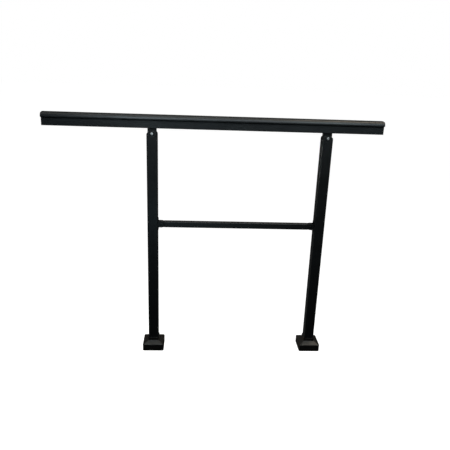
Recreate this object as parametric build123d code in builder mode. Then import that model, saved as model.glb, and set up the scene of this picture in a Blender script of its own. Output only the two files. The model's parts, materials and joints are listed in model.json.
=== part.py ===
from build123d import *
import os

# Pool handrail with an adjustable slope: a grip rail and a mid rail hinged on two posts.
# Frame: origin on the ground below the middle of the rail, +X along the rail, +Z up. Millimetres.

# ---- driving dimensions ----
rail_length = 1200.0
rail_top_z = 919.0
grip_width = 55.0
grip_height = 17.0
grip_crown = 3.0
grip_top_radius = 12.5
grip_under_radius = 3.0
web_width = 38.0
web_height = 29.0
rail_wall = 2.2
slot_width = 22.0
lip_thickness = 2.4
cap_thickness = 4.0
cap_insert_depth = 14.0
web_corner = 1.5
cap_chamfer = 1.2
cap_insert_gap = 0.4
cap_insert_corner = 1.0
filler_thickness = 1.6
filler_side_gap = 1.0
jack_screw_radius = 3.0
jack_socket_radius = 1.65
jack_socket_depth = 3.0

post_left_x = -222.5
post_right_x = 402.5
post_width = 38.0
post_wall = 2.0
post_corner = 4.0
post_top_z = 846.0

pivot_z = 853.5
ear_top_z = 861.0
ear_corner = 11.5
head_slot_width = 21.0
head_slot_gap = 0.5
tongue_width = 31.0
tongue_thickness = 20.4
flange_length = 70.0
flange_width = 32.8
flange_thickness = 6.0
jack_screw_offset = 25.0
head_spigot_length = 35.0
pivot_bolt_radius = 3.0
bolt_head_radius = 5.5
bolt_head_height = 3.2
bolt_head_recess = 1.0
bolt_recess_gap = 0.5
bolt_socket_radius = 2.3
bolt_socket_depth = 2.0
bolt_end_projection = 1.0
washer_radius = 6.25
washer_thickness = 1.2
nut_width = 10.0
nut_height = 6.0
nut_hexagon_height = 4.2
nut_collar_radius = 4.6
nut_collar_fillet = 1.0
sink_depth = 2.0
screw_socket_depth = 1.5
side_screw_radius = 2.5
side_screw_length = 12.0
running_clearance = 0.05
moving_gap = 0.3
overlap = 1.0

mid_rail_z = 518.0
mid_rail_width = 22.0
mid_rail_wall = 1.5
mid_rail_corner = 2.5
mid_pivot_reach = 13.4
mid_plug_shoulder = 14.0
mid_bracket_height = 44.0
mid_bracket_base = 2.0
mid_bracket_corner = 3.0
mid_cheek_thickness = 2.5
mid_cheek_radius = 11.5
mid_pin_radius = 2.5
pin_head_radius = 4.2
pin_head_height = 1.4
pin_head_chamfer = 0.5
bracket_screw_radius = 2.0
bracket_screw_offset = 16.0
bracket_screw_length = 10.0
plug_screw_length = 9.0
fixed_spigot_length = 25.0
sliding_spigot_length = 45.0
sliding_spigot_height = 14.9
sliding_end_gap = 0.5

base_plate_width = 76.0
base_plate_thickness = 6.0
base_plate_corner = 6.0
base_plate_chamfer = 1.0
anchor_spacing = 56.0
anchor_hole_radius = 4.5
socket_height = 45.0
socket_wall = 4.0
socket_corner = 1.0
socket_screw_height = 26.25

cover_width = 82.0
cover_skirt_height = 27.0
cover_hip_top_z = 35.5
cover_top_z = 48.0
cover_collar_width = 43.0
cover_hip_top_width = 46.0
cover_corner = 6.0
cover_wall = 2.0
cover_roof_opening = 40.0
collar_corner = 5.0

# ---- sizes worked out from them ----
web_bottom_z = rail_top_z - grip_height - web_height
grip_bottom_z = rail_top_z - grip_height
channel_floor_z = web_bottom_z + lip_thickness
extrusion_length = rail_length - 2 * cap_thickness
post_inside = post_width - 2 * post_wall
mid_rail_inside = mid_rail_width - 2 * mid_rail_wall
mid_fork_width = mid_rail_width - 2 * mid_cheek_thickness
mid_tongue_thickness = mid_fork_width - 2 * moving_gap
post_face = post_width / 2
channel_width = web_width - 2 * rail_wall
head_slot_floor_z = pivot_z - tongue_width / 2 - head_slot_gap

# Each post: its name, its X, and the direction in which its mid-rail bracket faces.
POSTS = [("left", post_left_x, 1), ("right", post_right_x, -1)]
BOTTOM_UP = (Align.CENTER, Align.CENTER, Align.MIN)
TOP_DOWN = (Align.CENTER, Align.CENTER, Align.MAX)

os.makedirs("parts", exist_ok=True)


def save(piece, name):
    piece.part.label = name
    export_step(piece.part, f"parts/{name}.step")


def grip_outline(inset):
    """The crowned grip's outline in Y and Z, set in from its outside by inset."""
    half = grip_width / 2 - inset
    low = grip_bottom_z + inset
    high = rail_top_z - inset
    shoulder = high - grip_crown
    with BuildSketch() as outline:
        with BuildLine():
            ThreePointArc((-half, shoulder), (0, high), (half, shoulder))
            Polyline((half, shoulder), (half, low), (-half, low), (-half, shoulder))
        make_face()
        fillet(outline.vertices().group_by(Axis.Y)[-1], grip_top_radius - inset)
        fillet(outline.vertices().group_by(Axis.Y)[0], grip_under_radius - inset)
    return outline.sketch


def countersunk_screw(name, place, direction, thread_radius, length):
    """Save a countersunk socket screw whose head lies flush with the surface at place."""
    seat = Plane(origin=place, z_dir=direction)
    with BuildPart(seat) as screw:
        Cone(thread_radius, thread_radius + sink_depth, sink_depth, align=TOP_DOWN)
        with Locations((0, 0, -sink_depth)):
            Cylinder(thread_radius, length - sink_depth, align=TOP_DOWN)
        with BuildSketch(seat):
            RegularPolygon(thread_radius * 0.6, 6)
        extrude(amount=-screw_socket_depth, mode=Mode.SUBTRACT)
    save(screw, name)


def countersink(place, direction, thread_radius, length):
    """Cut the seat of such a screw into the part being built."""
    with Locations(Plane(origin=place, z_dir=direction)):
        CounterSinkHole(thread_radius, thread_radius + sink_depth, length, 90)


# ================= top rail =================

grip_outside = grip_outline(0)
grip_hollow = grip_outline(rail_wall)

# Grip rail: a hollow crowned grip over a hollow web, open below between two lips.
with BuildPart() as top_rail:
    with BuildSketch(Plane.YZ.offset(-extrusion_length / 2)):
        add(grip_outside)
        with BuildSketch(mode=Mode.PRIVATE) as web:
            with Locations((0, web_bottom_z)):
                Rectangle(web_width, web_height + overlap, align=(Align.CENTER, Align.MIN))
            fillet(web.vertices().group_by(Axis.Y)[0], web_corner)
        add(web.sketch)
        add(grip_hollow, mode=Mode.SUBTRACT)
        with Locations((0, channel_floor_z)):
            Rectangle(channel_width, grip_bottom_z - channel_floor_z, align=(Align.CENTER, Align.MIN),
                      mode=Mode.SUBTRACT)
        with Locations((0, web_bottom_z - overlap)):
            Rectangle(slot_width, lip_thickness + 2 * overlap, align=(Align.CENTER, Align.MIN),
                      mode=Mode.SUBTRACT)
    extrude(amount=extrusion_length)
save(top_rail, "top_rail")

# End caps: a plate with the rail's outline and two plugs that push into its hollows.
for side, outward in (("left", -1), ("right", 1)):
    rail_end = outward * extrusion_length / 2
    with BuildPart() as end_cap:
        with BuildSketch(Plane.YZ.offset(rail_end)):
            add(grip_outside)
            with Locations((0, web_bottom_z)):
                Rectangle(web_width, web_height + overlap, align=(Align.CENTER, Align.MIN))
        extrude(amount=outward * cap_thickness)
        chamfer(end_cap.faces().sort_by(Axis.X)[-1 if outward > 0 else 0].edges(), cap_chamfer)
        with BuildSketch(Plane.YZ.offset(rail_end)):
            add(grip_outline(rail_wall + cap_insert_gap))
            with Locations((0, (channel_floor_z + grip_bottom_z) / 2)):
                RectangleRounded(channel_width - 2 * cap_insert_gap,
                                 grip_bottom_z - channel_floor_z - 2 * cap_insert_gap, cap_insert_corner)
        extrude(amount=-outward * cap_insert_depth)
    save(end_cap, f"end_cap_{side}")

# Rail brackets: a flange in the T-slot and a tongue that hangs into the post head.
for side, post_x, facing in POSTS:
    with BuildPart() as rail_bracket:
        with Locations((post_x, 0, channel_floor_z)):
            Box(flange_length, flange_width, flange_thickness, align=BOTTOM_UP)
        with BuildSketch(Plane.XZ.offset(-tongue_thickness / 2)):
            with Locations((post_x, pivot_z)):
                Circle(tongue_width / 2)
                Rectangle(tongue_width, channel_floor_z + overlap - pivot_z, align=(Align.CENTER, Align.MIN))
        extrude(amount=tongue_thickness)
        with Locations(Plane(origin=(post_x, 0, pivot_z), z_dir=(0, 1, 0))):
            Hole(pivot_bolt_radius + running_clearance)
        with Locations((post_x - jack_screw_offset, 0, channel_floor_z),
                       (post_x + jack_screw_offset, 0, channel_floor_z)):
            Cylinder(jack_screw_radius, flange_thickness, align=BOTTOM_UP, mode=Mode.SUBTRACT)
    save(rail_bracket, f"rail_bracket_{side}")

    # Jack screws: they press on the channel's roof and clamp the flange on the lips.
    for end, offset in (("a", -jack_screw_offset), ("b", jack_screw_offset)):
        screw_bottom = Plane((post_x + offset, 0, channel_floor_z))
        with BuildPart(screw_bottom) as jack_screw:
            Cylinder(jack_screw_radius, grip_bottom_z - channel_floor_z, align=BOTTOM_UP)
            with BuildSketch(screw_bottom):
                RegularPolygon(jack_socket_radius, 6)
            extrude(amount=jack_socket_depth, mode=Mode.SUBTRACT)
        save(jack_screw, f"jack_screw_{side}_{end}")

# Slot fillers: strips that close the T-slot between the brackets and out to each end cap.
inner_end = extrusion_length / 2 - cap_insert_depth - moving_gap
bracket_reach = flange_length / 2 + moving_gap
fillers = [
    ("left", -inner_end, post_left_x - bracket_reach),
    ("middle", post_left_x + bracket_reach, post_right_x - bracket_reach),
    ("right", post_right_x + bracket_reach, inner_end),
]
for name, start, end in fillers:
    with BuildPart() as slot_filler:
        with BuildSketch(Plane.YZ.offset(start)):
            with Locations((0, channel_floor_z)):
                Rectangle(flange_width - 2 * filler_side_gap, filler_thickness, align=(Align.CENTER, Align.MIN))
                Rectangle(slot_width - 2 * moving_gap, lip_thickness - cap_insert_gap,
                          align=(Align.CENTER, Align.MAX))
        extrude(amount=end - start)
    save(slot_filler, f"slot_filler_{name}")

# ================= posts =================

for side, post_x, facing in POSTS:
    screw_height = socket_screw_height
    head_screw_height = post_top_z - head_spigot_length / 2
    post_sides = [("inner", facing), ("outer", -facing)]
    bracket_face = post_x + facing * post_face

    # Post tube, with the countersunk seats of its side screws.
    with BuildPart() as post_tube:
        with BuildSketch(Plane.XY.offset(base_plate_thickness)):
            with Locations((post_x, 0)):
                RectangleRounded(post_width, post_width, post_corner)
                RectangleRounded(post_inside, post_inside, post_corner - post_wall, mode=Mode.SUBTRACT)
        extrude(amount=post_top_z - base_plate_thickness)
        for name, outward in post_sides:
            for height in (screw_height, head_screw_height):
                countersink((post_x + outward * post_face, 0, height), (outward, 0, 0),
                            side_screw_radius, post_wall * 2)
        for height in (-bracket_screw_offset, bracket_screw_offset):
            with Locations(Plane(origin=(bracket_face, 0, mid_rail_z + height), z_dir=(facing, 0, 0))):
                Cylinder(bracket_screw_radius, post_wall * 4, mode=Mode.SUBTRACT)
    save(post_tube, f"post_tube_{side}")

    # Post head: a clevis as wide as the post, on a spigot that fits inside the tube.
    with BuildPart() as post_head:
        with BuildSketch(Plane.XY.offset(post_top_z)):
            with Locations((post_x, 0)):
                RectangleRounded(post_width, post_width, post_corner)
        extrude(amount=ear_top_z - post_top_z)
        with BuildSketch(Plane.XZ.offset(-post_width)) as ear_profile:
            with Locations((post_x, post_top_z)):
                Rectangle(post_width, ear_top_z - post_top_z, align=(Align.CENTER, Align.MIN))
            fillet(ear_profile.vertices().group_by(Axis.Y)[-1], ear_corner)
        extrude(amount=2 * post_width, mode=Mode.INTERSECT)
        with BuildSketch(Plane.XY.offset(post_top_z)):
            with Locations((post_x, 0)):
                RectangleRounded(post_inside, post_inside, post_corner - post_wall)
        extrude(amount=-head_spigot_length)
        with Locations((post_x, 0, head_slot_floor_z)):
            Box(2 * post_width, head_slot_width, 2 * tongue_width, align=BOTTOM_UP, mode=Mode.SUBTRACT)
        with Locations(Plane(origin=(post_x, -post_face, pivot_z), z_dir=(0, -1, 0))):
            CounterBoreHole(pivot_bolt_radius, bolt_head_radius + bolt_recess_gap, bolt_head_recess,
                            2 * post_width)
        for name, outward in post_sides:
            with Locations(Plane(origin=(post_x + outward * post_inside / 2, 0, head_screw_height),
                                 z_dir=(outward, 0, 0))):
                Hole(side_screw_radius, side_screw_length - post_wall)
    save(post_head, f"post_head_{side}")

    # Base plate: flat, with four anchor holes.
    with BuildPart() as base_plate:
        with BuildSketch(Plane.XY):
            with Locations((post_x, 0)):
                RectangleRounded(base_plate_width, base_plate_width, base_plate_corner)
        extrude(amount=base_plate_thickness)
        chamfer(base_plate.faces().sort_by(Axis.Z)[-1].edges(), base_plate_chamfer)
        with Locations((post_x, 0, base_plate_thickness)):
            with GridLocations(anchor_spacing, anchor_spacing, 2, 2):
                Hole(anchor_hole_radius)
    save(base_plate, f"base_plate_{side}")

    # Base socket: a short square tube welded on the plate, which stands inside the post.
    socket_inside = post_inside - 2 * socket_wall
    with BuildPart() as base_socket:
        with BuildSketch(Plane.XY.offset(base_plate_thickness)):
            with Locations((post_x, 0)):
                RectangleRounded(post_inside, post_inside, post_corner - post_wall)
                RectangleRounded(socket_inside, socket_inside, socket_corner, mode=Mode.SUBTRACT)
        extrude(amount=socket_height)
        for name, outward in post_sides:
            with Locations(Plane(origin=(post_x + outward * post_inside / 2, 0, screw_height),
                                 z_dir=(outward, 0, 0))):
                Hole(side_screw_radius, socket_wall * 1.5)
    save(base_socket, f"base_socket_{side}")

    # Side screws: one in each of two faces, at the base socket and at the head's spigot.
    for name, outward in post_sides:
        face_x = post_x + outward * post_face
        countersunk_screw(f"base_screw_{side}_{name}", (face_x, 0, screw_height), (outward, 0, 0),
                          side_screw_radius, post_wall + socket_wall)
        countersunk_screw(f"head_screw_{side}_{name}", (face_x, 0, head_screw_height), (outward, 0, 0),
                          side_screw_radius, side_screw_length)

    # Pivot bolt: a button head sunk in the front ear, its shank through both ears.
    bolt_seat = Plane(origin=(post_x, bolt_head_recess - post_face, pivot_z), z_dir=(0, -1, 0))
    nut_face = post_face + washer_thickness
    nut_collar_face = nut_face + nut_hexagon_height
    shank_length = post_face - bolt_head_recess + nut_face + nut_height + bolt_end_projection
    with BuildPart(bolt_seat) as pivot_bolt:
        Cylinder(bolt_head_radius, bolt_head_height, align=BOTTOM_UP)
        fillet(pivot_bolt.edges().filter_by(GeomType.CIRCLE).sort_by(Axis.Y)[0], bolt_head_height * 0.75)
        Cylinder(pivot_bolt_radius, shank_length, align=TOP_DOWN)
        with BuildSketch(bolt_seat.offset(bolt_head_height)):
            RegularPolygon(bolt_socket_radius, 6)
        extrude(amount=-bolt_socket_depth, mode=Mode.SUBTRACT)
    save(pivot_bolt, f"pivot_bolt_{side}")

    with BuildPart() as washer:
        with BuildSketch(Plane(origin=(post_x, post_face, pivot_z), z_dir=(0, 1, 0))):
            Circle(washer_radius)
            Circle(pivot_bolt_radius, mode=Mode.SUBTRACT)
        extrude(amount=washer_thickness)
    save(washer, f"pivot_washer_{side}")

    # Lock nut: a hexagon with a round collar that holds its locking ring.
    with BuildPart() as lock_nut:
        with BuildSketch(Plane(origin=(post_x, nut_face, pivot_z), z_dir=(0, 1, 0))):
            RegularPolygon(nut_width / 2, 6, major_radius=False)
            Circle(pivot_bolt_radius, mode=Mode.SUBTRACT)
        extrude(amount=nut_hexagon_height)
        with BuildSketch(Plane(origin=(post_x, nut_collar_face, pivot_z), z_dir=(0, 1, 0))):
            Circle(nut_collar_radius)
            Circle(pivot_bolt_radius, mode=Mode.SUBTRACT)
        extrude(amount=nut_height - nut_hexagon_height)
        fillet(lock_nut.edges().filter_by(GeomType.CIRCLE).group_by(Axis.Y)[-1].sort_by(SortBy.RADIUS)[-1],
               nut_collar_fillet)
    save(lock_nut, f"lock_nut_{side}")

    # Mid-rail bracket: a plate on the post's face with two round-nosed cheeks.
    mid_pivot_x = bracket_face + facing * mid_pivot_reach
    with BuildPart() as mid_bracket:
        with BuildSketch(Plane.YZ.offset(bracket_face)):
            with Locations((0, mid_rail_z)):
                RectangleRounded(mid_rail_width, mid_bracket_height, mid_bracket_corner)
        extrude(amount=facing * mid_bracket_base)
        with BuildSketch(Plane.XZ.offset(-mid_rail_width / 2)):
            with Locations((mid_pivot_x, mid_rail_z)):
                Circle(mid_cheek_radius)
            with Locations((bracket_face + facing * mid_pivot_reach / 2, mid_rail_z)):
                Rectangle(mid_pivot_reach, 2 * mid_cheek_radius)
        extrude(amount=mid_rail_width)
        with Locations((bracket_face + facing * (mid_bracket_base + mid_rail_width), 0, mid_rail_z)):
            Box(2 * mid_rail_width, mid_fork_width, 2 * mid_rail_width, mode=Mode.SUBTRACT)
        with Locations(Plane(origin=(mid_pivot_x, 0, mid_rail_z), z_dir=(0, 1, 0))):
            Hole(mid_pin_radius)
        for height in (-bracket_screw_offset, bracket_screw_offset):
            countersink((bracket_face + facing * mid_bracket_base, 0, mid_rail_z + height), (facing, 0, 0),
                        bracket_screw_radius, mid_bracket_base * 2)
    save(mid_bracket, f"mid_bracket_{side}")

    for name, height in (("lower", -bracket_screw_offset), ("upper", bracket_screw_offset)):
        countersunk_screw(f"bracket_screw_{side}_{name}",
                          (bracket_face + facing * mid_bracket_base, 0, mid_rail_z + height),
                          (facing, 0, 0), bracket_screw_radius, bracket_screw_length)

    # Base cover: a thin square shell with a sloped top and a collar round the post.
    with BuildPart() as base_cover:
        with BuildSketch(Plane.XY):
            with Locations((post_x, 0)):
                RectangleRounded(cover_width, cover_width, cover_corner)
        extrude(amount=cover_skirt_height)
        with BuildSketch(Plane.XY.offset(cover_skirt_height)):
            with Locations((post_x, 0)):
                RectangleRounded(cover_width, cover_width, cover_corner)
        with BuildSketch(Plane.XY.offset(cover_hip_top_z)):
            with Locations((post_x, 0)):
                RectangleRounded(cover_hip_top_width, cover_hip_top_width, collar_corner)
        loft()
        with BuildSketch(Plane.XY.offset(cover_hip_top_z)):
            with Locations((post_x, 0)):
                RectangleRounded(cover_collar_width, cover_collar_width, collar_corner)
        extrude(amount=cover_top_z - cover_hip_top_z)
        hollow = cover_width - 2 * cover_wall
        with BuildSketch(Plane.XY):
            with Locations((post_x, 0)):
                RectangleRounded(hollow, hollow, cover_corner - cover_wall)
        extrude(amount=cover_skirt_height - cover_wall / 2, mode=Mode.SUBTRACT)
        with BuildSketch(Plane.XY.offset(cover_skirt_height - cover_wall / 2)):
            with Locations((post_x, 0)):
                RectangleRounded(hollow, hollow, cover_corner - cover_wall)
        with BuildSketch(Plane.XY.offset(cover_hip_top_z - cover_wall)):
            with Locations((post_x, 0)):
                RectangleRounded(cover_roof_opening, cover_roof_opening, post_corner)
        loft(mode=Mode.SUBTRACT)
        with BuildSketch(Plane.XY):
            with Locations((post_x, 0)):
                RectangleRounded(post_width + 2 * moving_gap, post_width + 2 * moving_gap, post_corner)
        extrude(amount=cover_top_z, mode=Mode.SUBTRACT)
    save(base_cover, f"base_cover_{side}")

# ================= mid rail =================

pivot_left_x = post_left_x + post_face + mid_pivot_reach
pivot_right_x = post_right_x - post_face - mid_pivot_reach
tube_start = pivot_left_x + mid_plug_shoulder
tube_end = pivot_right_x - mid_plug_shoulder - sliding_end_gap
plug_screw_x = tube_start + fixed_spigot_length / 2

# Tube, held on the left plug by one screw from below; its right end is free on the other plug.
with BuildPart() as mid_rail_tube:
    with BuildSketch(Plane.YZ.offset(tube_start)):
        with Locations((0, mid_rail_z)):
            RectangleRounded(mid_rail_width, mid_rail_width, mid_rail_corner)
            RectangleRounded(mid_rail_inside, mid_rail_inside, mid_rail_corner - mid_rail_wall,
                             mode=Mode.SUBTRACT)
    extrude(amount=tube_end - tube_start)
    countersink((plug_screw_x, 0, mid_rail_z - mid_rail_width / 2), (0, 0, -1), bracket_screw_radius,
                2 * mid_rail_wall)
save(mid_rail_tube, "mid_rail_tube")

# End plugs: a round-nosed tongue between the bracket's cheeks, and a spigot inside the tube.
spigots = {
    "left": (fixed_spigot_length, mid_rail_inside, mid_rail_inside),
    "right": (sliding_spigot_length, sliding_spigot_height, mid_rail_inside - 2 * moving_gap),
}
for side, post_x, facing in POSTS:
    pivot_x = post_x + facing * (post_face + mid_pivot_reach)
    shoulder_x = pivot_x + facing * (mid_cheek_radius + 2 * moving_gap)
    spigot_length, spigot_height, spigot_width = spigots[side]
    with BuildPart() as mid_plug:
        with BuildSketch(Plane.XZ.offset(-mid_tongue_thickness / 2)):
            with Locations((pivot_x, mid_rail_z)):
                Circle(mid_rail_width / 2)
            with Locations((pivot_x + facing * mid_plug_shoulder / 2, mid_rail_z)):
                Rectangle(mid_plug_shoulder, mid_rail_width)
        extrude(amount=mid_tongue_thickness)
        with BuildSketch(Plane.YZ.offset(shoulder_x)):
            with Locations((0, mid_rail_z)):
                RectangleRounded(mid_rail_width, mid_rail_width, mid_rail_corner)
        extrude(amount=pivot_x + facing * mid_plug_shoulder - shoulder_x)
        with BuildSketch(Plane.YZ.offset(pivot_x + facing * mid_plug_shoulder)):
            with Locations((0, mid_rail_z)):
                RectangleRounded(spigot_width, spigot_height, mid_rail_corner - mid_rail_wall)
        extrude(amount=facing * spigot_length)
        with Locations(Plane(origin=(pivot_x, 0, mid_rail_z), z_dir=(0, 1, 0))):
            Hole(mid_pin_radius + running_clearance)
        if side == "left":
            countersink((plug_screw_x, 0, mid_rail_z - mid_rail_width / 2), (0, 0, -1),
                        bracket_screw_radius, plug_screw_length)
    save(mid_plug, f"mid_plug_{side}")

    # Hinge pin, fixed in the cheeks: headed in front and riveted over behind.
    with BuildPart() as mid_pin:
        pin_start = Plane(origin=(pivot_x, -mid_rail_width / 2, mid_rail_z), z_dir=(0, 1, 0))
        with BuildSketch(pin_start):
            Circle(mid_pin_radius)
        extrude(amount=mid_rail_width)
        with BuildSketch(pin_start, pin_start.offset(mid_rail_width + pin_head_height)):
            Circle(pin_head_radius)
        extrude(amount=-pin_head_height)
        chamfer(mid_pin.faces().filter_by(Axis.Y).sort_by(Axis.Y)[0].edges(), pin_head_chamfer)
        chamfer(mid_pin.faces().filter_by(Axis.Y).sort_by(Axis.Y)[-1].edges(), pin_head_chamfer)
    save(mid_pin, f"mid_pin_{side}")

countersunk_screw("plug_screw", (plug_screw_x, 0, mid_rail_z - mid_rail_width / 2), (0, 0, -1),
                  bracket_screw_radius, plug_screw_length)
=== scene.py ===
import json
import math

import bmesh
import bpy
from mathutils import Matrix, Vector


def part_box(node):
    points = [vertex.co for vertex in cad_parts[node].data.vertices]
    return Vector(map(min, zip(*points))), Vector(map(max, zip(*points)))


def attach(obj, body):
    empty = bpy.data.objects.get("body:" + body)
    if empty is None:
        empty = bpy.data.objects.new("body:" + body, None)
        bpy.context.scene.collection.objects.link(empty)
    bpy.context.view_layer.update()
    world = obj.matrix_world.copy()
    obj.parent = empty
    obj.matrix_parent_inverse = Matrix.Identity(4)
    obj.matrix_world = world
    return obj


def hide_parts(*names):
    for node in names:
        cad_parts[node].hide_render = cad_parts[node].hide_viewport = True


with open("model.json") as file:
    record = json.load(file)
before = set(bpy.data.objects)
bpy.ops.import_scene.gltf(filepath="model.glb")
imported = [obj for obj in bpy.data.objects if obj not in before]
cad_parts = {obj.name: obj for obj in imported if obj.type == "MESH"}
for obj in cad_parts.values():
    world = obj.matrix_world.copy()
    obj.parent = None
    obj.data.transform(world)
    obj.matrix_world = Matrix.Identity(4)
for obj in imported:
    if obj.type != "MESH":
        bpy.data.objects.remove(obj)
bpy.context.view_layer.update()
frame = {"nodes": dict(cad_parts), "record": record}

scene = bpy.context.scene

MM = 0.001
SIDES = ("left", "right")

GRIP_HEIGHT = 17.0 * MM
CROWN = 3.0 * MM
SHOULDER_RADIUS = 12.5 * MM
UNDER_RADIUS = 3.0 * MM
WEB_HALF = 19.0 * MM
WEB_RADIUS = 1.5 * MM
RAIL_WALL = 2.2 * MM
SLOT_HALF = 11.0 * MM
LIP_THICKNESS = 2.4 * MM
CAP_OUTER_EDGE = 1.5 * MM
CAP_JOINT_EDGE = 0.35 * MM
POST_CORNER, POST_WALL, POST_CUT_EDGE = 4.0 * MM, 2.0 * MM, 0.35 * MM
MID_CORNER, MID_WALL, MID_CUT_EDGE = 2.5 * MM, 1.5 * MM, 0.3 * MM


# ---------------------------------------------------------------- sizes read from the frame

def box_of(node):
    """Lowest and highest corner of a CAD node, in metres."""
    low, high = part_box(node)
    return low.copy(), high.copy()


rail_low, rail_high = box_of("top_rail")
grip_half = (rail_high.y - rail_low.y) / 2
rail_top = rail_high.z
web_bottom = rail_low.z
grip_bottom = rail_top - GRIP_HEIGHT
lip_top = web_bottom + LIP_THICKNESS


# ---------------------------------------------------------------- materials

class Nodes:
    """A short way to write a node tree: makes nodes and links them by socket name."""

    # The mix node has sockets of the same name for each data type. These are its colour ones.
    COLOR_A, COLOR_B, COLOR_RESULT = 6, 7, 2

    def __init__(self, name):
        self.material = bpy.data.materials.new(name)
        self.material.use_nodes = True
        self.tree = self.material.node_tree
        self.shader = self.tree.nodes["Principled BSDF"]
        self.place = self.make("ShaderNodeTexCoord").outputs["Object"]

    def make(self, kind, settings=None, **inputs):
        node = self.tree.nodes.new(kind)
        for key, value in (settings or {}).items():
            setattr(node, key, value)
        for key, value in inputs.items():
            self.feed(node, key.replace("_", " "), value)
        return node

    def feed(self, node, socket, value):
        if isinstance(value, bpy.types.NodeSocket):
            self.tree.links.new(value, node.inputs[socket])
        else:
            node.inputs[socket].default_value = value

    def noise(self, scale, detail=2.0, roughness=0.5, stretch=None):
        place = self.place
        if stretch:
            mapped = self.make("ShaderNodeMapping", Vector=place)
            mapped.inputs["Scale"].default_value = stretch
            place = mapped.outputs["Vector"]
        node = self.make("ShaderNodeTexNoise", Vector=place, Scale=scale, Detail=detail,
                         Roughness=roughness)
        return node.outputs["Fac"]

    def ramp(self, value, low, high, start=0.0, end=1.0):
        """Map value from low..high to start..end, held at both ends."""
        node = self.make("ShaderNodeMapRange", Value=value)
        node.inputs["From Min"].default_value = low
        node.inputs["From Max"].default_value = high
        node.inputs["To Min"].default_value = start
        node.inputs["To Max"].default_value = end
        return node.outputs["Result"]

    def math(self, operation, a, b=0.0):
        node = self.make("ShaderNodeMath", {"operation": operation})
        self.feed(node, 0, a)
        self.feed(node, 1, b)
        return node.outputs["Value"]

    def mix(self, factor, a, b):
        node = self.make("ShaderNodeMix", {"data_type": "RGBA"})
        self.feed(node, "Factor", factor)
        self.feed(node, self.COLOR_A, a)
        self.feed(node, self.COLOR_B, b)
        return node.outputs[self.COLOR_RESULT]

    def bump(self, height, distance, strength=1.0, normal=None):
        node = self.make("ShaderNodeBump", Height=height, Distance=distance, Strength=strength)
        if normal is not None:
            self.feed(node, "Normal", normal)
        return node.outputs["Normal"]

    def edges(self, radius):
        """How sharply the surface turns within radius: 0 on a flat, towards 1 on an edge."""
        bevel = self.make("ShaderNodeBevel", {"samples": 6}, Radius=radius)
        here = self.make("ShaderNodeNewGeometry").outputs["Normal"]
        dot = self.make("ShaderNodeVectorMath", {"operation": "DOT_PRODUCT"})
        self.feed(dot, 0, bevel.outputs["Normal"])
        self.feed(dot, 1, here)
        return self.math("SUBTRACT", 1.0, dot.outputs["Value"])

    def upward(self):
        """How far the surface faces up, from 0 to 1."""
        normal = self.make("ShaderNodeNewGeometry").outputs["Normal"]
        parts = self.make("ShaderNodeSeparateXYZ", Vector=normal)
        return self.math("MAXIMUM", parts.outputs["Z"], 0.0)


def grey(value, warm=0.0):
    return (value * (1 + warm), value, value * (1 - warm), 1.0)


def powder_coat(name, shade, roughness, warm, specular=0.35, dust_and_top_light=0.012, wear=0.55):
    """Black powder coat: orange-peel skin, fine grain, rubbed edges, and dust on top that also serves
    as painted light, lightening the upward faces.
    """
    n = Nodes(name)
    cloud = n.noise(9.0, detail=4.0)
    grain = n.noise(2600.0, detail=1.0)
    base = n.mix(n.ramp(cloud, 0.3, 0.7), grey(shade * 0.8, warm), grey(shade * 1.25, warm))
    base = n.mix(n.ramp(grain, 0.55, 0.8, 0.0, 0.35), base, grey(shade * 2.2 + 0.004, warm))
    patches = n.ramp(n.noise(140.0, detail=3.0), 0.45, 0.75)
    rubbed = n.math("MULTIPLY", n.ramp(n.edges(0.0009), 0.04, 0.35), patches)
    base = n.mix(n.math("MULTIPLY", rubbed, wear), base, grey(0.11, 0.03))
    specks = n.ramp(n.noise(420.0, detail=5.0, roughness=0.7), 0.5, 0.8)
    # Upward faces are mixed towards a light grey: partly dust specks, partly painted top light
    # standing in for the light that falls on them.
    flat_tops = n.math("POWER", n.upward(), 3.0)
    dust_and_lit_tops = n.math("MULTIPLY", flat_tops, n.ramp(specks, 0.0, 1.0, 0.3, 1.0))
    base = n.mix(n.math("MULTIPLY", dust_and_lit_tops, dust_and_top_light * 10), base, grey(0.16, 0.08))
    n.feed(n.shader, "Base Color", base)
    smears = n.noise(32.0, detail=3.0, stretch=(0.35, 1.0, 1.0))
    n.feed(n.shader, "Roughness", n.ramp(smears, 0.3, 0.7, roughness - 0.05, roughness + 0.08))
    n.shader.inputs["Specular IOR Level"].default_value = specular
    peel = n.bump(n.noise(620.0, detail=2.0), 0.00009, 0.55)
    n.feed(n.shader, "Normal", n.bump(grain, 0.00003, 0.5, peel))
    return n.material


def moulded_plastic(name, shade):
    """Black moulded plastic with a fine spark-eroded grain."""
    n = Nodes(name)
    cloud = n.noise(18.0, detail=3.0)
    n.feed(n.shader, "Base Color", n.mix(cloud, grey(shade * 0.8), grey(shade * 1.3)))
    n.feed(n.shader, "Roughness", n.ramp(n.noise(60.0, detail=2.0), 0.3, 0.7, 0.5, 0.62))
    n.shader.inputs["Specular IOR Level"].default_value = 0.35
    grain = n.make("ShaderNodeTexVoronoi", Vector=n.place, Scale=1500.0).outputs["Distance"]
    n.feed(n.shader, "Normal", n.bump(grain, 0.00005, 0.6))
    return n.material


def bright_steel(name, shade, roughness):
    """Stainless steel with fine turning marks and a few dull patches."""
    n = Nodes(name)
    cloud = n.noise(300.0, detail=3.0)
    n.feed(n.shader, "Base Color", n.mix(cloud, grey(shade * 0.86, 0.01), grey(shade, 0.01)))
    n.shader.inputs["Metallic"].default_value = 1.0
    smears = n.noise(800.0, detail=2.0)
    n.feed(n.shader, "Roughness", n.ramp(smears, 0.3, 0.7, roughness - 0.06, roughness + 0.08))
    marks = n.noise(1800.0, detail=1.0, stretch=(1.0, 12.0, 1.0))
    n.feed(n.shader, "Normal", n.bump(marks, 0.00001, 0.25))
    return n.material


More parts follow.
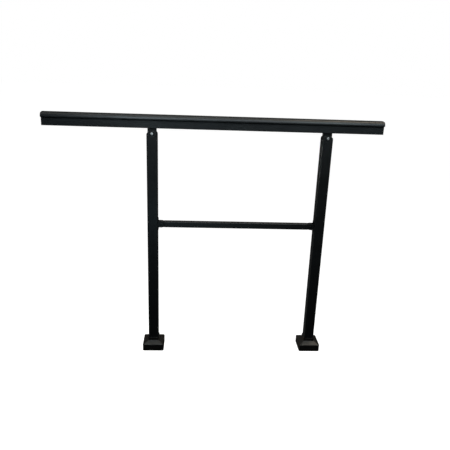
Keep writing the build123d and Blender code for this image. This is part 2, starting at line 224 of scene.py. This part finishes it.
MATERIALS = {
    "rail_coat": powder_coat("rail_coat", 0.012, roughness=0.40, warm=-0.08, specular=0.42),
    "post_coat": powder_coat("post_coat", 0.008, roughness=0.44, warm=-0.04),
    # The mid rail's larger amount of top lightening is mostly painted top light on its top face, with
    # some dust.
    "mid_rail_coat": powder_coat("mid_rail_coat", 0.011, roughness=0.42, warm=-0.04, dust_and_top_light=0.03),
    "cover_coat": powder_coat("cover_coat", 0.007, roughness=0.42, warm=0.16, specular=0.59,
                              dust_and_top_light=0.003, wear=0.15),
    "casting_coat": powder_coat("casting_coat", 0.008, roughness=0.48, warm=-0.04),
    "black_plastic": moulded_plastic("black_plastic", 0.010),
    "black_steel": bright_steel("black_steel", 0.05, 0.42),
    "stainless": bright_steel("stainless", 0.74, 0.33),
}
SLOT_OF = {s["node"]: s["material_slot"] for s in frame["record"]["subparts"]}
BODY_OF = {n: b for b, members in frame["record"]["behaviour"]["bodies"].items() for n in members}


# ---------------------------------------------------------------- mesh helpers

def arc(cx, cy, radius, start, end, steps):
    """Points of an arc, in degrees, both ends included."""
    points = []
    for i in range(steps + 1):
        angle = math.radians(start + (end - start) * i / steps)
        points.append((cx + radius * math.cos(angle), cy + radius * math.sin(angle)))
    return points


def tidy_outline(points):
    """Drop points that repeat the one before them."""
    kept = []
    for p in points:
        if not kept or math.dist(p, kept[-1]) > 1e-6:
            kept.append(p)
    if math.dist(kept[0], kept[-1]) < 1e-6:
        kept.pop()
    return kept


def rounded_square(half, radius, steps, centre_x=0.0):
    """The outline of a square with round corners, steps points to each corner."""
    reach = half - radius
    points = []
    for sx, sy, start in ((1, 1, 0), (-1, 1, 90), (-1, -1, 180), (1, -1, 270)):
        points += arc(centre_x + sx * reach, sy * reach, radius, start, start + 90, steps)
    return tidy_outline(points)


def square_tube(half, corner, wall, steps):
    """The outer and inner outlines of a square tube."""
    return [rounded_square(half, corner, steps), rounded_square(half - wall, corner - wall, steps)]


def finish_mesh(bm, name, replaced, smooth, bevel=None, segments=2):
    """Make the object, shade it, bevel its edges, and let it stand for the CAD node it replaces."""
    bmesh.ops.recalc_face_normals(bm, faces=bm.faces)
    mesh = bpy.data.meshes.new(name)
    bm.to_mesh(mesh)
    bm.free()
    piece = bpy.data.objects.new(name, mesh)
    scene.collection.objects.link(piece)
    mesh.polygons.foreach_set("use_smooth", [True] * len(mesh.polygons))
    mesh.set_sharp_from_angle(angle=math.radians(smooth))
    if bevel:
        modifier = piece.modifiers.new("soft_edges", "BEVEL")
        modifier.width = bevel
        modifier.segments = segments
        modifier.limit_method = "ANGLE"
        modifier.angle_limit = math.radians(smooth)
        modifier.harden_normals = True
    flat_faces = piece.modifiers.new("flat_faces", "WEIGHTED_NORMAL")
    flat_faces.keep_sharp = True
    slot = SLOT_OF[replaced]
    mesh.materials.append(MATERIALS[slot])
    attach(piece, BODY_OF[replaced])
    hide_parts(replaced)


def prism(loops, place, start, end):
    """A solid between two planes: its outline and holes in (u, v), put in place by place(u, v, t)."""
    bm = bmesh.new()
    rims = ([], [])
    for loop in loops:
        rings = [[bm.verts.new(place(u, v, t)) for u, v in loop] for t in (start, end)]
        for i in range(len(loop)):
            j = (i + 1) % len(loop)
            bm.faces.new((rings[0][i], rings[0][j], rings[1][j], rings[1][i]))
        for rim, ring in zip(rims, rings):
            rim += [bm.edges.get((ring[i], ring[(i + 1) % len(ring)])) for i in range(len(ring))]
    for rim in rims:
        bmesh.ops.triangle_fill(bm, use_beauty=True, edges=rim)
    return bm


def bevel_rims(bm, axis, places, width, segments=2):
    """Round the sharp edges at the given places along an axis, and not the flat fill's own edges."""
    def on_rim(vert):
        return any(abs(getattr(vert.co, axis) - place) < 1e-5 for place in places)

    edges = [e for e in bm.edges
             if all(map(on_rim, e.verts)) and e.calc_face_angle(0.0) > math.radians(20)]
    bmesh.ops.bevel(bm, geom=edges, offset=width, segments=segments, profile=0.5, affect="EDGES",
                    clamp_overlap=True)


def rings_to_shell(rings):
    """A closed shell from rings of equal length, the last joined to the first."""
    bm = bmesh.new()
    rows = [[bm.verts.new(p) for p in ring] for ring in rings]
    count = len(rows[0])
    for a, b in zip(rows, rows[1:] + rows[:1]):
        for i in range(count):
            j = (i + 1) % count
            bm.faces.new((a[i], a[j], b[j], b[i]))
    return bm


def dressed(node, bevel, segments):
    """A copy of a CAD node's shape with its flat faces merged and its edges softened."""
    bm = bmesh.new()
    bm.from_mesh(frame["nodes"][node].data)
    bmesh.ops.remove_doubles(bm, verts=bm.verts, dist=1e-6)
    bmesh.ops.dissolve_limit(bm, angle_limit=math.radians(0.5), verts=bm.verts, edges=bm.edges)
    finish_mesh(bm, "soft_" + node, node, 32.0, bevel, segments)


# ---------------------------------------------------------------- the rail

def grip_curve(half, top, bottom, inset=0.0):
    """One half of the grip's outline, from its top middle round to below its side."""
    half, top, bottom = half - inset, top - inset, bottom + inset
    crown_radius = (half * half + CROWN * CROWN) / (2 * CROWN)
    centre_z = top - crown_radius
    shoulder = SHOULDER_RADIUS - inset
    under = UNDER_RADIUS - inset
    shoulder_y = half - shoulder
    shoulder_z = centre_z + math.sqrt((crown_radius - shoulder) ** 2 - shoulder_y ** 2)
    lean = math.degrees(math.atan2(shoulder_z - centre_z, shoulder_y))
    curve = arc(0.0, centre_z, crown_radius, 90.0, lean, 10)
    curve += arc(shoulder_y, shoulder_z, shoulder, lean, 0.0, 10)
    curve += arc(half - under, bottom + under, under, 0.0, -90.0, 10)
    return curve


def both_halves(half_outline):
    """Close an outline by mirroring its first half in the middle plane."""
    return tidy_outline(half_outline + [(-y, z) for y, z in reversed(half_outline)])


def along_x(u, v, t):
    return (t, u, v)


web_corner = arc(WEB_HALF - WEB_RADIUS, web_bottom + WEB_RADIUS, WEB_RADIUS, 0.0, -90.0, 5)
outside = grip_curve(grip_half, rail_top, grip_bottom) + [(WEB_HALF, grip_bottom)] + web_corner
channel_half = WEB_HALF - RAIL_WALL
t_slot = [(SLOT_HALF, web_bottom), (SLOT_HALF, lip_top), (channel_half, lip_top),
          (channel_half, grip_bottom)]
rail_outline = both_halves(outside + t_slot)
cap_outline = both_halves(outside)
grip_hollow = both_halves(grip_curve(grip_half, rail_top, grip_bottom, RAIL_WALL))

rail = prism([rail_outline, grip_hollow], along_x, rail_low.x, rail_high.x)
finish_mesh(rail, "grip_rail", "top_rail", 30.0)

for side, outward in (("left", -1), ("right", 1)):
    low, high = box_of("end_cap_" + side)
    outer_x = low.x if outward < 0 else high.x
    rail_end = rail_low.x if outward < 0 else rail_high.x
    cap = prism([cap_outline], along_x, rail_end, outer_x)
    bevel_rims(cap, "x", [outer_x], CAP_OUTER_EDGE, 4)
    bevel_rims(cap, "x", [rail_end], CAP_JOINT_EDGE)
    finish_mesh(cap, "rail_end_cap_" + side, "end_cap_" + side, 40.0)

# ---------------------------------------------------------------- posts and covers

# Each ring of the cover's section, in millimetres: half its width, its corner radius, its height.
COVER_OUTSIDE = [(40.5, 5.6, 0.0), (41.0, 6.0, 0.5), (41.0, 6.0, 26.1), (40.85, 5.9, 26.8),
                 (40.3, 5.8, 27.3), (23.4, 5.0, 35.2), (22.4, 5.0, 35.8), (21.7, 5.0, 36.6),
                 (21.5, 5.0, 37.6), (21.5, 5.0, 47.3), (21.3, 4.9, 47.8), (20.9, 4.7, 48.0)]
COVER_INSIDE = [(19.5, 4.1, 48.0), (19.3, 4.0, 47.8), (19.3, 4.0, 34.0), (20.0, 4.0, 33.5),
                (38.75, 4.0, 26.0), (39.0, 4.0, 25.3), (39.0, 4.0, 0.4), (39.35, 4.2, 0.0)]


# The parts of each post that are softened copies: name, edge width in millimetres, bevel segments.
DRESSED = (("post_head", 0.6, 3), ("rail_bracket", 0.6, 3), ("mid_bracket", 0.35, 2),
           ("mid_plug", 0.5, 3), ("mid_pin", 0.2, 2), ("pivot_bolt", 0.15, 2), ("lock_nut", 0.3, 2),
           ("pivot_washer", 0.15, 2), ("base_plate", 0.4, 2), ("base_socket", 0.3, 2))


def cover_ring(x, half, radius, z):
    return [(u, v, z * MM) for u, v in rounded_square(half * MM, radius * MM, 8, x)]


for side in SIDES:
    low, high = box_of("post_tube_" + side)
    post_x = (low.x + high.x) / 2
    post_half = (high.x - low.x) / 2

    def upright(u, v, t, post_x=post_x):
        return (u + post_x, v, t)

    tube = prism(square_tube(post_half, POST_CORNER, POST_WALL, 10), upright, low.z, high.z)
    bevel_rims(tube, "z", [high.z], POST_CUT_EDGE)
    finish_mesh(tube, "square_post_" + side, "post_tube_" + side, 30.0)

    rings = [cover_ring(post_x, *ring) for ring in COVER_OUTSIDE + COVER_INSIDE]
    finish_mesh(rings_to_shell(rings), "foot_cover_" + side, "base_cover_" + side, 50.0)

    for part, edge, segments in DRESSED:
        dressed(part + "_" + side, edge * MM, segments)

# ---------------------------------------------------------------- mid rail

low, high = box_of("mid_rail_tube")
mid_half = (high.y - low.y) / 2
mid_z = (low.z + high.z) / 2


def along_mid(u, v, t):
    return (t, u, v + mid_z)


tube = prism(square_tube(mid_half, MID_CORNER, MID_WALL, 6), along_mid, low.x, high.x)
bevel_rims(tube, "x", [low.x, high.x], MID_CUT_EDGE)
finish_mesh(tube, "square_mid_rail", "mid_rail_tube", 30.0)

# ---------------------------------------------------------------- nodes shown as they are

for name, node in frame["nodes"].items():
    if node.hide_render:
        continue
    slots = node.data.materials
    for index in range(len(slots)):
        slots[index] = MATERIALS[SLOT_OF[name]]
    if not slots:
        slots.append(MATERIALS[SLOT_OF[name]])

# ---------------------------------------------------------------- floor, light and camera

# The deck lies below the lowest step that the far foot reaches, so that no foot is hidden by it.
LOWEST_STEP = -0.46
BACKDROP_GLOW = 1.0
ROOM_LIGHT = 0.02


def backdrop(name, bm, shade):
    """A white stage piece that the camera sees and that adds no light to the object."""
    mesh = bpy.data.meshes.new(name)
    bm.to_mesh(mesh)
    bm.free()
    piece = bpy.data.objects.new(name, mesh)
    scene.collection.objects.link(piece)
    piece.visible_glossy = False
    piece.visible_diffuse = False
    paper = Nodes(name + "_paper")
    paper.shader.inputs["Base Color"].default_value = grey(shade)
    paper.shader.inputs["Roughness"].default_value = 0.9
    paper.shader.inputs["Specular IOR Level"].default_value = 0.0
    paper.shader.inputs["Emission Color"].default_value = grey(1.0)
    paper.shader.inputs["Emission Strength"].default_value = BACKDROP_GLOW
    mesh.materials.append(paper.material)
    return piece


deck = bmesh.new()
bmesh.ops.create_grid(deck, x_segments=1, y_segments=1, size=30.0)
floor = backdrop("floor", deck, 0.25)
floor.location.z = LOWEST_STEP

dome = bmesh.new()
bmesh.ops.create_uvsphere(dome, u_segments=48, v_segments=24, radius=25.0)
cyclorama = backdrop("cyclorama", dome, 0.0)
cyclorama.visible_shadow = False

world = bpy.data.worlds.new("studio")
world.use_nodes = True
background = world.node_tree.nodes["Background"]
background.inputs["Color"].default_value = (0.9, 0.95, 1.0, 1.0)
background.inputs["Strength"].default_value = ROOM_LIGHT
scene.world = world
scene.view_settings.view_transform = "Standard"


def softbox(name, location, target, size, power, color, mirrored=True, spread=180.0):
    """A soft area light aimed at target. The side and back ones aren't mirrored in the coat."""
    data = bpy.data.lights.new(name, "AREA")
    data.shape = "RECTANGLE"
    data.size, data.size_y = size
    data.energy = power
    data.color = color
    data.spread = math.radians(spread)
    light = bpy.data.objects.new(name, data)
    scene.collection.objects.link(light)
    light.location = location
    aim = Vector(target) - Vector(location)
    light.rotation_euler = aim.to_track_quat("-Z", "Y").to_euler()
    light.visible_camera = False
    light.visible_glossy = mirrored


softbox("overhead_cool", (-0.5, 0.2, 4.2), (-0.2, 0.0, 0.5), (1.8, 2.0), 19.5, (1.0, 0.99, 0.90))
softbox("overhead_warm", (1.7, 0.2, 4.0), (0.4, 0.0, 0.5), (1.8, 1.8), 32.0, (1.0, 0.91, 0.77))
softbox("rail_warm", (0.75, 0.3, 1.9), (0.45, 0.0, 0.9), (0.6, 0.5), 2.1, (1.0, 0.78, 0.54))
softbox("front_left", (-0.2, -0.55, 1.35), (-0.2, 0.0, 0.88), (0.7, 0.45), 3.2, (0.84, 0.94, 1.0))
softbox("front_right", (0.5, -0.55, 1.35), (0.45, 0.0, 0.88), (0.6, 0.45), 3.3, (0.84, 0.95, 0.98))
softbox("front_left_post", (-0.3, -0.5, 1.1), (-0.23, 0.0, 0.78), (0.2, 0.2), 0.9, (0.72, 0.92, 1.0))
softbox("front_right_end", (0.64, -0.5, 1.2), (0.58, 0.0, 0.88), (0.2, 0.2), 0.55, (0.70, 0.92, 1.0))
softbox("front_middle", (-0.1, -0.35, 0.48), (-0.1, 0.0, 0.46), (0.5, 0.15), 0.13, (0.58, 0.88, 1.0))
softbox("left_side", (-2.4, 0.1, 0.2), (0.0, 0.0, 0.6), (0.5, 1.2), 20.0, (1.0, 1.0, 0.92),
        mirrored=False)
softbox("right_side", (2.6, 0.1, 0.2), (0.3, 0.0, 0.6), (0.5, 1.2), 50.0, (0.96, 0.98, 1.0),
        mirrored=False)
softbox("left_back", (-1.1, 0.9, -0.1), (0.4, 0.0, 0.8), (0.5, 0.5), 36.0, (1.0, 1.0, 0.92),
        mirrored=False)
softbox("back_high", (0.0, 1.6, 2.6), (0.0, 0.0, 0.5), (2.0, 0.8), 24.0, (0.96, 0.98, 1.0),
        mirrored=False)
softbox("right_post_side", (0.0, 0.0, 0.72), (0.375, 0.0, 0.76), (0.03, 0.03), 0.26, (1.0, 1.0, 0.95),
        mirrored=False, spread=50.0)

CAMERA_PLACE = Vector((-0.0653, -1.8419, 1.1261))
YAW, PITCH, ROLL = 0.0609, -0.3187, 0.0371
FOCAL, SENSOR_WIDTH = 41.315, 36.0
forward = Vector((math.sin(YAW) * math.cos(PITCH), math.cos(YAW) * math.cos(PITCH),
                  math.sin(PITCH)))
level = Vector((math.cos(YAW), -math.sin(YAW), 0.0))
above = level.cross(forward)
right = math.cos(ROLL) * level + math.sin(ROLL) * above
up = -math.sin(ROLL) * level + math.cos(ROLL) * above
camera_data = bpy.data.cameras.new("camera")
camera_data.lens = FOCAL
camera_data.sensor_width = SENSOR_WIDTH
camera = bpy.data.objects.new("camera", camera_data)
scene.collection.objects.link(camera)
rotation = Matrix((right, up, -forward)).transposed().to_4x4()
camera.matrix_world = Matrix.Translation(CAMERA_PLACE) @ rotation
scene.camera = camera
